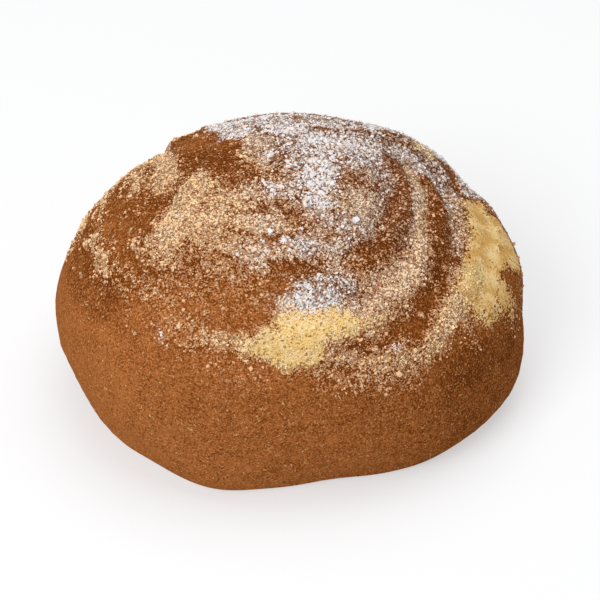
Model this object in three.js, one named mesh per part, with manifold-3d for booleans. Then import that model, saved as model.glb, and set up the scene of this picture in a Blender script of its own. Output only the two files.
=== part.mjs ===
// A sweet brioche bun, whole and uncut: a tall oval dome of browned dough, baked flat underneath.
// The dough was rolled up as a spiral, so low rings wind over its top. A fold crosses the top on the
// left, a paler lobe swells on the right, and small lumps of sugar are stuck to the rings.
// Millimetres, +Z up. The origin is the middle of the flat underside, and -Y is the bun's front.

import * as THREE from "three";
import { mergeVertices } from "three/addons/utils/BufferGeometryUtils.js";
import Module from "manifold-3d";

// The dome, seen from above
const MEAN_RADIUS = 66; // at the widest level
const OVAL = { share: 0.059, at: 6 }; // longer along X, turned by this many degrees
const THREE_SIDED = { share: 0.025, at: 93 };
const SHOULDER_OVAL = { share: 0.03, at: 27 }; // grows towards the top
const TOP_LEAN = [-4.5, 0.6]; // how far the top lies from the middle, in X and Y

// The dome, seen from the side
const WIDEST_HEIGHT = 22; // of the widest level above the floor
const DOME_RISE = 54; // from there to the top
const DOME_FULLNESS = 0.92; // under 1 rounds the shoulders out
const UNDERCUT_DEPTH = 50; // how deep the flank's curve would go below the widest level
const FOOT_SHIFT = { share: 0.072, at: 14 }; // of the foot from under the dome
const FOOT_OVAL = { share: 0.053, at: 45 };

// The spiral on the top
const SWIRL_CENTRE = [2, -4];
const SWIRL_PITCH = 10; // from ridge to ridge
const SWIRL_START = 1.2;
const RIDGE_HEIGHT = 0.7; // above and below the dome
const FAINT_SWIRL = 0.35; // what is left of it at the back and left
const SWIRL_FROM = [12, 20]; // the rings fade in over this span from the centre
const SWIRL_TO = [48, 60]; // and out over this one
const SWIRL_SECTOR = { at: -25, half: 110, blend: 30 }; // where the rings are deepest, in degrees
const TOP_FROM = [32, 42]; // heights over which the spiral and the fold set in

// The fold on the left of the top: a line across it, higher on its inner side
const FOLD_X = -33;
const FOLD_BEND = 0.004; // how much it curves outwards, per millimetre
const FOLD_Y = [-24, 66]; // its two ends
const FOLD_END = 16; // the length over which each end fades
const FOLD_MIDDLE_Y = 2;
const FOLD_STEP = 2.2;
const FOLD_LIP = 0.7;
const FOLD_SOFTNESS = 3.2;
const FOLD_RECOVERY = 12; // how far out the sunken side takes to level up

// Swells and hollows: where, in degrees round from +X and down from the top, and how high and wide
const SWELLS = [
  { round: -3, down: 69, height: 2.1, width: 13 }, // the pale lobe
  { round: 12, down: 46, height: -1.9, width: 8 }, // the groove inside it
  { round: 21, down: 54, height: -1.0, width: 8 }, // that groove's end at the back
  { round: -8, down: 46, height: -1.0, width: 7 },
  { round: 14, down: 61, height: 1.3, width: 6 }, // the lobe's shoulder
  { round: 40, down: 56, height: 2.0, width: 11 }, // the roll behind the top
  { round: -4, down: 86, height: -0.7, width: 9 },
  { round: -20, down: 102, height: 0.9, width: 12 },
  { round: -48, down: 110, height: 0.6, width: 9 },
  { round: -154, down: 94, height: -1.9, width: 14 },
  { round: -134, down: 106, height: -2.5, width: 10 },
  { round: 171, down: 73, height: -0.6, width: 9 },
  { round: 178, down: 80, height: 0.2, width: 12 },
  { round: -112, down: 108, height: 2.0, width: 11 }, // the low corner at the front
  { round: -77, down: 110, height: -1.5, width: 12 },
  { round: -80, down: 56, height: 1.2, width: 11 }, // the pale patch at the front
];

// The sugar lumps
const LUMP_COUNT = 130;
const LUMP_RADIUS = [1.0, 1.8];
const LUMP_SPACING = 5;
const LUMP_SINK = 0.35; // share of a lump's radius that its centre lies below the crust
const LUMP_FLATNESS = 0.75;
const LUMP_LEVEL = 0.1; // lumps lie where the spiral stands no higher than this
const LUMP_TRIES = 20000;
const SUGARED_DOWN = [4, 62]; // degrees from the top
const BARE_PATCH = { x: -22, y: 12, radius: 15 };

const EDGE = 3.5; // length of a triangle's side
const PROFILE_SAMPLES = 400; // steps along the profile, for spacing the rings of vertices
const MERGE_DISTANCE = 1e-4;
const RANDOM_SEED = 7;

const degrees = THREE.MathUtils.degToRad;
const smooth = (t, from, to) => THREE.MathUtils.smoothstep(t, from, to);
const waves = (turn, { share, at }, count) => share * Math.cos(count * (turn - degrees(at)));

// The angle between two directions, in degrees, from 0 to 180.
function apart(a, b) {
  const turn = Math.abs(a - b) % 360;
  return Math.min(turn, 360 - turn);
}

// The plain dome. turn goes round from +X and rise from the foot's negative angle to a quarter turn.
const FOOT_RISE = -Math.asin(WIDEST_HEIGHT / UNDERCUT_DEPTH);
function domePoint(turn, rise) {
  const plan = MEAN_RADIUS * (1 + waves(turn, OVAL, 2) + waves(turn, THREE_SIDED, 3));
  const low = Math.max(0, rise / FOOT_RISE);
  const foot = low * (waves(turn, FOOT_SHIFT, 1) + waves(turn, FOOT_OVAL, 2));
  const high = Math.max(0, Math.sin(rise));
  const shoulder = high * waves(turn, SHOULDER_OVAL, 2);
  const radius = plan * Math.cos(rise) * (1 + foot) * (1 + shoulder);
  const height = WIDEST_HEIGHT
    + (rise < 0 ? UNDERCUT_DEPTH * Math.sin(rise) : DOME_RISE * high ** DOME_FULLNESS);
  const lean = (height / (WIDEST_HEIGHT + DOME_RISE)) ** 2;
  return new THREE.Vector3(
    radius * Math.cos(turn) + TOP_LEAN[0] * lean,
    radius * Math.sin(turn) + TOP_LEAN[1] * lean,
    height,
  );
}

function swirlRelief(point) {
  const x = point.x - SWIRL_CENTRE[0];
  const y = point.y - SWIRL_CENTRE[1];
  const out = Math.hypot(x, y);
  const turn = Math.atan2(y, x);
  const phase = (out - SWIRL_START) / SWIRL_PITCH + turn / (2 * Math.PI);
  const span = smooth(out, ...SWIRL_FROM) * (1 - smooth(out, ...SWIRL_TO));
  const aside = apart(THREE.MathUtils.radToDeg(turn), SWIRL_SECTOR.at);
  const { half, blend } = SWIRL_SECTOR;
  const deep = 1 - smooth(aside, half - blend, half + blend);
  const strength = FAINT_SWIRL + (1 - FAINT_SWIRL) * deep;
  return RIDGE_HEIGHT * span * strength * Math.cos(2 * Math.PI * phase);
}

function foldRelief(point) {
  const inside = point.x - FOLD_X + FOLD_BEND * (point.y - FOLD_MIDDLE_Y) ** 2;
  const [front, back] = FOLD_Y;
  const along = smooth(point.y, front, front + FOLD_END) * (1 - smooth(point.y, back - FOLD_END, back));
  const sunk = -FOLD_STEP * Math.exp(Math.min(0, inside) / FOLD_RECOVERY);
  const lip = FOLD_LIP * Math.exp(-Math.max(0, inside) / FOLD_RECOVERY);
  return along * THREE.MathUtils.lerp(sunk, lip, smooth(inside, -FOLD_SOFTNESS, FOLD_SOFTNESS));
}

function swellRelief(turn, rise) {
  const round = THREE.MathUtils.radToDeg(turn);
  const down = 90 - THREE.MathUtils.radToDeg(rise);
  return SWELLS.reduce((sum, swell) => {
    const aside = apart(round, swell.round) * Math.sin(degrees(Math.min(down, 90)));
    const distance = Math.hypot(aside, down - swell.down) / swell.width;
    return sum + swell.height * Math.exp(-distance * distance);
  }, 0);
}

// The direction in which the relief pushes the dome out: level at the foot, which stays on the floor.
const NUDGE = 0.002;
function outwardAt(turn, rise) {
  if (rise > Math.PI / 2 - NUDGE) {
    return new THREE.Vector3(0, 0, 1);
  }
  const point = domePoint(turn, rise);
  const round = domePoint(turn + NUDGE, rise).sub(point);
  const up = domePoint(turn, rise + NUDGE).sub(point);
  const outward = round.cross(up);
  if (rise <= FOOT_RISE) {
    outward.z = 0;
  }
  return outward.normalize();
}

function crustPoint(turn, rise) {
  const point = domePoint(turn, rise);
  const top = smooth(point.z, ...TOP_FROM);
  const relief = swellRelief(turn, rise) + top * (swirlRelief(point) + foldRelief(point));
  return point.addScaledVector(outwardAt(turn, rise), relief);
}

// Rises of the rings of vertices, evenly spaced up the flank and over the top.
function ringRises() {
  const riseAt = (share) => THREE.MathUtils.lerp(FOOT_RISE, Math.PI / 2, share);
  const lengths = [0];
  for (let i = 1; i <= PROFILE_SAMPLES; i++) {
    const from = domePoint(0, riseAt((i - 1) / PROFILE_SAMPLES));
    const to = domePoint(0, riseAt(i / PROFILE_SAMPLES));
    lengths.push(lengths[i - 1] + from.distanceTo(to));
  }
  const length = lengths[PROFILE_SAMPLES];
  const count = Math.round(length / (EDGE * Math.sqrt(0.75)));
  return Array.from({ length: count }, (_, ring) => {
    const at = lengths.findIndex((reached) => reached >= (length * ring) / count);
    return riseAt(at / PROFILE_SAMPLES);
  });
}

// Joins two rings of vertices that may differ in number, with the second above the first.
function joinRings(lower, upper, triangles) {
  let i = 0;
  let j = 0;
  while (i < lower.count || j < upper.count) {
    const a = lower.first + (i % lower.count);
    const b = upper.first + (j % upper.count);
    if (j >= upper.count || (i < lower.count && (i + 0.5) / lower.count < (j + 0.5) / upper.count)) {
      triangles.push(a, lower.first + ((i + 1) % lower.count), b);
      i += 1;
    } else {
      triangles.push(a, upper.first + ((j + 1) % upper.count), b);
      j += 1;
    }
  }
}

function crustGeometry() {
  const points = [];
  const triangles = [];
  const rings = [];
  for (const rise of ringRises()) {
    const count = Math.max(6, Math.round((2 * Math.PI * MEAN_RADIUS * Math.cos(rise)) / EDGE));
    const offset = rings.length % 2 ? Math.PI / count : 0;
    rings.push({ first: points.length, count });
    for (let i = 0; i < count; i++) {
      points.push(crustPoint(offset + (2 * Math.PI * i) / count, rise));
    }
  }
  rings.slice(1).forEach((ring, i) => joinRings(rings[i], ring, triangles));

  const top = rings[rings.length - 1];
  points.push(crustPoint(0, Math.PI / 2));
  for (let i = 0; i < top.count; i++) {
    triangles.push(top.first + i, top.first + ((i + 1) % top.count), points.length - 1);
  }
  const foot = rings[0];
  points.push(new THREE.Vector3(0, 0, 0));
  for (let i = 0; i < foot.count; i++) {
    triangles.push(foot.first + ((i + 1) % foot.count), foot.first + i, points.length - 1);
  }
  const geometry = new THREE.BufferGeometry().setFromPoints(points);
  geometry.setIndex(triangles);
  return geometry;
}

// A seeded draw from 0 to 1, by the mulberry32 rule.
function randomFrom(seed) {
  let state = seed;
  return () => {
    state = (state + 0x6d2b79f5) | 0;
    let mixed = Math.imul(state ^ (state >>> 15), 1 | state);
    mixed = (mixed + Math.imul(mixed ^ (mixed >>> 7), 61 | mixed)) ^ mixed;
    return ((mixed ^ (mixed >>> 14)) >>> 0) / 4294967296;
  };
}

// Places for the lumps: in the rings' hollows, apart from each other and off the bare patch.
function lumpPlaces(random) {
  const places = [];
  for (let tries = 0; places.length < LUMP_COUNT && tries < LUMP_TRIES; tries++) {
    const turn = 2 * Math.PI * random();
    const cosines = SUGARED_DOWN.map((down) => Math.cos(degrees(down)));
    const down = Math.acos(THREE.MathUtils.lerp(...cosines, random()));
    const place = crustPoint(turn, Math.PI / 2 - down);
    const bare = Math.hypot(place.x - BARE_PATCH.x, place.y - BARE_PATCH.y) < BARE_PATCH.radius;
    const close = places.some((other) => other.distanceTo(place) < LUMP_SPACING);
    if (!bare && !close && swirlRelief(place) < LUMP_LEVEL) {
      places.push(place);
    }
  }
  return places;
}

function lumpGeometry(place, random) {
  const radius = THREE.MathUtils.lerp(...LUMP_RADIUS, random());
  const shape = new THREE.IcosahedronGeometry(radius, 0);
  shape.rotateX(Math.PI * random()).rotateY(Math.PI * random());
  const outward = place.clone().sub(new THREE.Vector3(0, 0, WIDEST_HEIGHT)).normalize();
  shape.scale(1, 1, LUMP_FLATNESS);
  shape.applyQuaternion(new THREE.Quaternion().setFromUnitVectors(new THREE.Vector3(0, 0, 1), outward));
  const centre = place.clone().addScaledVector(outward, -LUMP_SINK * radius);
  return shape.translate(centre.x, centre.y, centre.z);
}

const wasm = await Module();
wasm.setup();

function solidOf(geometry) {
  const plain = geometry.clone();
  plain.deleteAttribute("normal");
  plain.deleteAttribute("uv");
  const merged = mergeVertices(plain, MERGE_DISTANCE);
  const vertProperties = merged.getAttribute("position").array;
  const triVerts = new Uint32Array(merged.getIndex().array);
  return new wasm.Manifold(new wasm.Mesh({ numProp: 3, vertProperties, triVerts }));
}

function geometryOf(solid) {
  const { vertProperties, triVerts } = solid.getMesh();
  const geometry = new THREE.BufferGeometry();
  geometry.setAttribute("position", new THREE.BufferAttribute(new Float32Array(vertProperties), 3));
  geometry.setIndex(new THREE.BufferAttribute(new Uint32Array(triVerts), 1));
  geometry.computeVertexNormals();
  return geometry;
}

function bunGeometry() {
  const random = randomFrom(RANDOM_SEED);
  const crust = solidOf(crustGeometry());
  const lumps = lumpPlaces(random).map((place) => solidOf(lumpGeometry(place, random)));
  const geometry = geometryOf(lumps.reduce((solid, lump) => solid.add(lump), crust));
  geometry.computeBoundingBox();
  const middle = geometry.boundingBox.getCenter(new THREE.Vector3());
  return geometry.translate(-middle.x, -middle.y, 0);
}

const crustBrown = new THREE.MeshStandardMaterial({ color: 0x9a5a2c, roughness: 0.75, metalness: 0 });

const bun = new THREE.Mesh(bunGeometry(), crustBrown);
bun.name = "bun";

const part = new THREE.Group();
part.add(bun);

export default part;
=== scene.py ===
"""A sweet brioche bun: its browned crust, and the sugar and toasted crumb that lie on its top.

The crust is one closed mesh, finer on the top, with the spiral, the fold and the wrinkles as real relief.
Sugar coverage is painted on a chart of the dome in broad strokes, and both the caked sugar and the loose
grains follow it. Lengths are in millimetres until a mesh is made.
"""

import itertools
import math
from typing import NamedTuple

import bmesh
import bpy
import numpy as np
from bpy.props import FloatProperty, FloatVectorProperty, IntProperty, PointerProperty
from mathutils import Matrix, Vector
from mathutils.kdtree import KDTree


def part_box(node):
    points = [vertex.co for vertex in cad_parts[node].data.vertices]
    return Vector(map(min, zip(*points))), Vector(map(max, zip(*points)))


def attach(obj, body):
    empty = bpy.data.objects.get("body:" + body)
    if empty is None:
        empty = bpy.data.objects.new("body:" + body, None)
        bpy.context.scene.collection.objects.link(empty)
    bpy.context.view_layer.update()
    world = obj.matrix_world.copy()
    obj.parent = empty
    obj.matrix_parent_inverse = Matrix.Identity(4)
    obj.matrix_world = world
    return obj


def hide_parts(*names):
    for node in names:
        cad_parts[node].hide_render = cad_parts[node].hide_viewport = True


bl_info = {
    "name": "Sweet Brioche Bun",
    "version": (1, 0, 0),
    "blender": (4, 5, 0),
    "location": "View3D > Sidebar > Bun",
    "description": "Builds the crust, sugar and crumb of a round sweet bun",
    "category": "Object",
}

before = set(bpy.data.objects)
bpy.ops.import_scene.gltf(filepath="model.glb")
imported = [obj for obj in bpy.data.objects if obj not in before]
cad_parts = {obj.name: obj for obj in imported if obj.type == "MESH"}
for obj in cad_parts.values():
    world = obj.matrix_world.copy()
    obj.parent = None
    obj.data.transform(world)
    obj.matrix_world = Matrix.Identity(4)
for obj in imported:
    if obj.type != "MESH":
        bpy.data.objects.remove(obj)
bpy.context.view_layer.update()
BODY = "root"
NODE = "bun"
CRUST = "bun_crust"
MM = 0.001

# The solid's corner at the right, back and top
HIGH = np.array(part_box(NODE)[1]) / MM

# The dome, as the solid has it
MEAN_RADIUS = 66.0
OVAL = (0.059, 6)
THREE_SIDED = (0.025, 93)
SHOULDER_OVAL = (0.03, 27)
TOP_LEAN = (-4.5, 0.6)
WIDEST_HEIGHT = 22.0
DOME_RISE = 54.0
DOME_FULLNESS = 0.92
UNDERCUT_DEPTH = 50.0
FOOT_SHIFT = (0.072, 14)
FOOT_OVAL = (0.053, 45)
FOOT_RISE = -math.asin(WIDEST_HEIGHT / UNDERCUT_DEPTH)
FOOT_ROUNDING = 0.7

# The spiral, as the solid has it
SWIRL_CENTRE = (2.0, -4.0)
SWIRL_PITCH = 10.0
SWIRL_START = 1.2
FAINT_SWIRL = 0.35
SWIRL_FROM = (12, 20)
SWIRL_TO = (48, 60)
SWIRL_AT = -25
SWIRL_HALF = (80, 140)
TOP_FROM = (32, 42)

# The crust's mesh
FINE_FROM = (10, 26)  # degrees up the dome, from coarse to fine
PROFILE_STEPS = 600
ROW_HEIGHT = math.sqrt(0.75)  # of even triangles, for their side
UNDERSIDE_RINGS = (0.985, 0.94, 0.86, 0.72, 0.5, 0.25)  # for the foot's ring
UNDERSIDE_THINNING = 0.62  # a ring's points for those of the ring round it
UNDERSIDE_LEAST = 12
UNDERSIDE_BAKE = 0.3

# The crust's fine relief
RELIEF_FROM = (0.5, 4)  # height over which it sets in
DENT_SIZE = 16
WRINKLE_SIZE = 2.4
FINE_WRINKLE_SIZE = 1.3
FINE_WRINKLE_SHARE = 0.6

# The fold, as the solid has it but with a crisper edge
FOLD_X = -33.0
FOLD_BEND = 0.004
FOLD_Y = (-24, 66)
FOLD_END = 16
FOLD_MIDDLE_Y = 2.0
FOLD_STEP = 2.2
FOLD_LIP = 0.7
FOLD_RECOVERY = 12.0
SOLID_FOLD_SOFTNESS = 3.2

# Swells and hollows, as the solid has them: round and down in degrees, height, width in degrees
SWELLS = (
    (-3, 69, 2.1, 13),
    (12, 46, -1.9, 8),
    (21, 54, -1.0, 8),
    (-8, 46, -1.0, 7),
    (14, 61, 1.3, 6),
    (40, 56, 2.0, 11),
    (-4, 86, -0.7, 9),
    (-20, 102, 0.9, 12),
    (-48, 110, 0.6, 9),
    (-154, 94, -1.9, 14),
    (-134, 106, -2.5, 10),
    (171, 73, -0.6, 9),
    (178, 80, 0.2, 12),
    (-112, 108, 2.0, 11),
    (-77, 110, -1.5, 12),
    (-80, 56, 1.2, 11),
)

# Streaks in the sugar on the left
STREAKS_FROM = (36, 46)  # left of the middle, where they set in
STREAKS_TO = (24, 38)  # behind the middle, where they end
STREAK_SIZE = 2.4
STREAK_SQUEEZE = 0.36  # their width for their length
STREAK_STRENGTH = 0.7
STREAKED_COVER = (0.05, 0.35)

# Clumps in the caked sugar: how wide, how far bent out of shape, and the seed of their pattern
LARGE_CLUMPS = (2.7, 0.9, 8)
SMALL_CLUMPS = (1.5, 0.5, 9)
LARGE_SHARE = 0.65
BEND_SIZE = 3.5
CLUMP_SLOPE = 0.55  # how gently they fall to the gaps between them
CLUMPS_SQUEEZED = 0.62  # how much narrower they are among the streaks
CLUMPS_FROM = (0.3, 0.8)  # cover of white sugar over which loose clumps set in
CLUMPED_BY_STROKES = 1.3
CLUMPED_BY_STREAKS = 0.8
LEAST_CLUMPED = 0.3
EVEN_CAKE = 0.35  # the cake's height without clumps, for its full height
LARGE_CREASE = (0.1, 0.62)
SMALL_CREASE = (0.05, 0.5)
SMALL_CREASE_DEPTH = 0.7

# Lumps of caked sugar on the solid
LUMP_LEAST = 0.25  # height over the smooth crust
LUMP_APART = 2.8
LUMP_SPREAD = 2.2  # half a lump's width for its height
LUMP_ROUGHNESS = 0.35
LUMP_ROUGH_SIZE = 1.6
LUMP_COVER = 0.8
LUMPS_TOASTED_TO = 0.4  # cover of white sugar or gold crumb, under which lumps are toasted sugar

# Random fields: how many cells to a side, their seeds, and shifts that keep the uses of one field apart
CELLS = 32
COVER_SEED = 3
CRUST_SEED = 5
LAYER_SHIFT = 7.3
SIDEWAYS_SHIFTS = (0.0, 40.0)
BEND_SHIFTS = (5.0, 15.0, 25.0)
WRINKLE_SHIFT = 11
LUMP_SHIFT = 31
BAKE_SHIFT = 60
UNEVEN_SHIFT = 80
STREAK_SHIFT = 120

# The chart, and over how many degrees at most, and how much of their width, strokes fade at their edges
CHART_MIDDLE = (-2.0, 0.0, WIDEST_HEIGHT)
FADE_INSIDE = (3.0, 0.4)
FADE_OUTSIDE = (3.6, 0.6)

# How far the strokes' edges wander, after the distance over which they do, and how uneven the cover is
WANDERS = ((9.0, 1.6), (3.2, 0.9))
UNEVEN_SIZE = 4.5
ALONG_RINGS = 11
ACROSS_RINGS = 3.0

# Grains sprinkled all over the top
SPRINKLE = 0.3
SPRINKLE_TO = (38, 60)  # degrees down, where they end
SPRINKLE_ON_BARE = 0.25

# How much toasted sugar hides under fresh sugar, and how much thinner gold crumb lies than sugar
CREAM_HIDDEN = 0.85
GOLD_THINNER = 0.3

# Browning, with painted shade to the right mixed in, where 0 is pale and 1 is dark
BAKED = 0.45
BAKED_UNEVENLY = 0.25
BAKED_PATCH = 26
# Darker to the right: partly the crust's own browning, partly painted shade from the light on the left
BAKED_AND_SHADED_TO_RIGHT = 0.0045  # for each millimetre
BAKED_ON_TOP = 0.6
BAKED_TOP_FROM = (40, 68)  # height over which the top sets in
TONED_BY_STROKES = 0.4

# Loose grains
CROWDING = 1.3  # the power of the cover that their number follows
MOST_GRAINS = 16000
GRAIN_STRETCH = (0.7, 1.1)
GRAIN_ROUGHNESS = 0.65
GRAIN_RELIEF = 0.2
BLOCK = (
    np.array(list(itertools.product((-0.5, 0.5), repeat=3))),
    np.array([(0, 1, 3, 2), (4, 6, 7, 5), (0, 4, 5, 1), (2, 3, 7, 6), (0, 2, 6, 4), (1, 5, 7, 3)]),
)

# How wide the finish's unevenness is, from the broadest to the finest, and its pits, which hold painted
# shadow, its grains and spots
MOTTLE = 6.0
PATCH = 3.5
COARSE = 2.0
MEDIUM = 0.9
FINE = 0.5
PIT = 0.8
GRAIN = 0.6
SPOT = 1.1

# The photograph's framing, on its 600 pixel square
FRAME_PIXELS = 600
AIM_PIXEL = (292.2, 265.1)
PIXELS_PER_MM = 3.35
CAMERA_DISTANCE = 650.0
CAMERA_ELEVATION = 41.0
AIM_HEIGHT = 38.0
SENSOR = 36.0

# The stage, in metres: the floor, the light from all round, and each lamp's name, place, size and power
FLOOR_REACH = 8.0
FLOOR_COLOUR = (0.42, 0.424, 0.43)
FLOOR_ROUGHNESS = 0.9
FLOOR_GLOW = 0.50
LIGHT_COLOUR = (1, 1, 1)
LIGHT_ALL_ROUND = 0.3
LAMPS = (
    ("key_light", (-0.55, -0.75, 0.95), 0.7, 10.5),
    ("top_light", (0.1, 0.2, 1.2), 1.0, 9.0),
)

# Strokes of sugar and crumb on the chart: how dense, how wide, and through which points.
# The chart's unit is a degree down from the top; x runs to the bun's right and y to its back.
WHITE_STROKES = (
    (0.76, 15, ((-7, 30.5), (2, 30.5))),
    (0.50, 22, ((-6, 33.5), (3, 35))),
    (0.55, 16, ((1, 42), (8, 44), (22, 41))),
    (0.32, 30, ((-2, 44), (8, 47), (24, 43))),
    (0.18, 12, ((-22, 50), (-10, 54))),
    (0.70, 16, ((2, 31), (12, 29), (20, 29))),
    (0.90, 9, ((-15, 31), (-14, 26), (-11.5, 19))),
    (0.97, 9, ((-2, 20), (6, 17), (15, 14.5), (20, 12))),
    (1.00, 9, ((8, 13), (8, 0), (8, -8), (8, -12))),
    (0.76, 7, ((1, 9), (-1, 5), (2, 7), (3, 1))),
    (0.40, 4, ((-7, 4), (-4, 0))),
    (0.80, 4, ((-3, -7.5), (-2, -10))),
    (0.62, 6, ((-2, -9.5), (4, -10))),
    (0.35, 7, ((-3, -19), (-6, -21))),
    (0.40, 6, ((-9, -28), (-5, -31))),
    (0.75, 6, ((12, 9), (13, 2))),
    (0.62, 9, ((21, 15), (21, 7))),
    (0.50, 6, ((24, 12), (23, 7), (25, -6))),
    (1.00, 7, ((24, 38), (32, 36), (40, 34), (48, 33))),
    (0.45, 6, ((48, 34), (43, 42), (36, 48))),
    (0.48, 15, ((40, 43), (54, 33), (61, 17))),
    (0.26, 26, ((30, 46), (52, 38), (64, 20))),
    (0.55, 6, ((56, 21), (61, 17))),
    (0.66, 7, ((16, 12), (16, 4))),
    (0.62, 9, ((23, 23), (31, 16), (38, 10), (42, 2))),
    (0.46, 9, ((38, 24), (44, 14), (46, 6))),
    (0.70, 6, ((47, 35), (52, 28), (54, 16))),
    (0.80, 4, ((0.5, -26), (5, -27))),
    (0.50, 5, ((-6, -30), (0, -31))),
    (0.74, 6, ((7, -36.5), (11, -38.5), (15, -38.5))),
    (0.80, 5, ((4, -40), (12, -40.5))),
    (0.50, 6, ((6, -33), (12, -34))),
    (0.84, 5, ((4, -43), (9, -42.5), (13, -43))),
    (0.52, 7, ((7, -17), (16, -21), (16, -24))),
    (0.66, 6, ((3, -29), (9, -29))),
    (0.70, 3, ((29, -53), (31, -52))),
    (0.55, 3, ((-32, -46), (-31, -49))),
)
CREAM_STROKES = (
    (0.97, 9, ((-19, -4), (-23, -9), (-28, -19))),
    (0.80, 12, ((-14, -13), (-9, -12))),
    (0.60, 9, ((-9, -16), (-3, -18))),
    (1.00, 6, ((1, -44.5), (5, -43.5), (12, -44))),
    (0.55, 4, ((12, -3), (14, -4))),
    (0.62, 7, ((11, -13), (14, -16))),
    (0.76, 4, ((12, -44), (19, -44))),
    (0.78, 5, ((-2, -13), (0, -12.5))),
    (0.94, 7, ((-10, -19.5), (-4, -21.5), (0, -20))),
    (0.74, 7, ((-14, -25), (-8, -28), (-4, -31))),
    (0.74, 7.5, ((-36, -19), (-32, -23))),
    (0.90, 6, ((-20, -17), (-15, -19))),
    (0.71, 10, ((-28, -25), (-20, -22), (-14, -22))),
    (0.58, 7, ((-28, -28), (-18, -28))),
    (0.80, 4, ((-8, -30.5), (-5, -30.5), (3, -29.5))),
    (0.50, 5, ((-21, -32), (-18, -33.5))),
    (0.55, 8, ((-13, -33.5), (-5, -37))),
    (0.35, 6, ((-28, -38), (-22, -38))),
    (0.30, 9, ((-36, -31), (-20, -34))),
    (0.18, 14, ((-34, -40), (-20, -42), (-8, -41))),
    (0.46, 6, ((-27, -46), (-20, -46))),
    (0.50, 6, ((-36, -31), (-33, -36))),
    (0.42, 5.5, ((-25, -52), (-20, -52), (-16, -51))),
    (0.20, 9, ((-16, -59), (-6, -60.5))),
    (0.68, 5, ((-21, -51.5), (-14, -53), (-9, -54))),
    (0.70, 12, ((5, -15), (8.5, -25), (10, -31))),
    (0.68, 8, ((18, -9), (20.5, -15), (19, -20))),
    (0.88, 9, ((-35, 24), (-31, 13))),
    (0.72, 8, ((-31, 13), (-29, -1))),
    (0.67, 5, ((-44, 26), (-41.5, 10), (-39, -3))),
    (0.60, 7, ((-36, 10), (-35, 3))),
    (0.42, 16, ((-46, 12), (-42, -6), (-36, -14))),
    (0.68, 4, ((-51, 19), (-49, 5))),
    (0.84, 7, ((-58, 16), (-57, 8), (-59, -1))),
    (0.65, 5, ((-63, 0), (-62, -4))),
    (0.80, 6, ((-51.5, -9.5), (-48, -14), (-45.5, -19))),
    (0.50, 7, ((-46, -22), (-43, -28))),
    (0.40, 12, ((-41, -19), (-36, -23), (-38, -29))),
    (0.90, 5, ((32.5, 6), (33.5, -4), (34, -14), (34, -20))),
    (0.66, 8, ((34, -18), (32.5, -27))),
    (0.86, 9, ((31, -30), (27.5, -36))),
    (0.64, 10, ((28, -36), (22.5, -42))),
    (0.50, 7, ((15, -34), (19, -36))),
    (0.55, 8, ((21, -36.5), (26, -38.5))),
    (0.62, 5, ((31, -41), (28, -44))),
    (0.30, 5, ((38, -29), (41, -31))),
    (0.40, 6, ((26, -26), (23, -34))),
    (0.70, 6, ((24, -45), (23, -50))),
    (0.50, 7, ((19, 3), (20, -2))),
    (0.85, 9, ((-7, 14), (-5, 8), (-6, 1), (-2, -2), (0, -10))),
    (0.68, 5, ((45, 10), (45.5, 2), (45, -8))),
    (0.55, 4, ((46.5, -6), (45, -18), (44, -28))),
    (0.84, 7, ((47, -33), (44, -38.5), (42, -45), (41, -49))),
    (0.55, 7, ((46, -37), (50, -38.5))),
    (0.22, 9, ((70, 4), (74, -8), (73, -24))),
    (0.60, 9, ((14, -56), (22, -58), (31, -56))),
    (0.58, 6, ((28, -57.5), (36, -56.5), (40, -52))),
    (0.40, 8, ((12, -62), (24, -64), (36, -60))),
    (0.40, 5, ((29, -52), (35, -51))),
    (0.30, 5, ((51, -43), (55, -43))),
    (0.45, 6, ((32, 33), (40, 32))),
)
GOLD_STROKES = (
    (1.00, 9, ((2, -49.5), (8, -49.8))),
    (0.82, 8, ((8, -50), (13, -49), (16, -48))),
    (1.00, 9, ((-3, -54), (3, -56.3), (7, -56))),
    (0.80, 5, ((-10, -54.7), (-5, -56.3))),
    (0.62, 5, ((18, -46.5), (22, -46))),
    (0.45, 5, ((13, -12), (18, -12))),
    (0.95, 7, ((49, -30.5), (50, -26))),
    (0.50, 5, ((36, 29), (40, 26))),
)
DOUGH_STROKES = (
    (1.00, 8, ((52.5, 6), (52.5, -5), (52, -14), (51, -22))),
    (0.70, 7, ((51, -22), (50, -29))),
    (1.00, 9, ((57, -2), (57, -12), (56, -28))),
    (0.95, 10, ((60, 2), (64, -7))),
    (0.90, 6, ((62, -22), (63, -25))),
    (0.60, 6, ((64, -24), (67, -22))),
    (0.85, 5, ((49, -31), (54, -32))),
    (0.60, 6, ((54, -34), (58, -33), (61, -30))),
    (0.42, 8, ((66, 2), (68, -8))),
    (0.42, 7, ((66, -27), (69, -25))),
)
CLUMP_STROKES = (
    (0.95, 12, ((-7, 15), (-4, 4), (0, -8))),
    (0.90, 10, ((4, 18), (8, 4), (7, -10))),
    (0.60, 9, ((-4, -14), (2, -24))),
    (0.40, 12, ((-20, -8), (-12, -18))),
    (0.35, 6, ((0, -41), (14, -40))),
    (0.35, 14, ((16, 12), (20, 22))),
)
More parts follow.
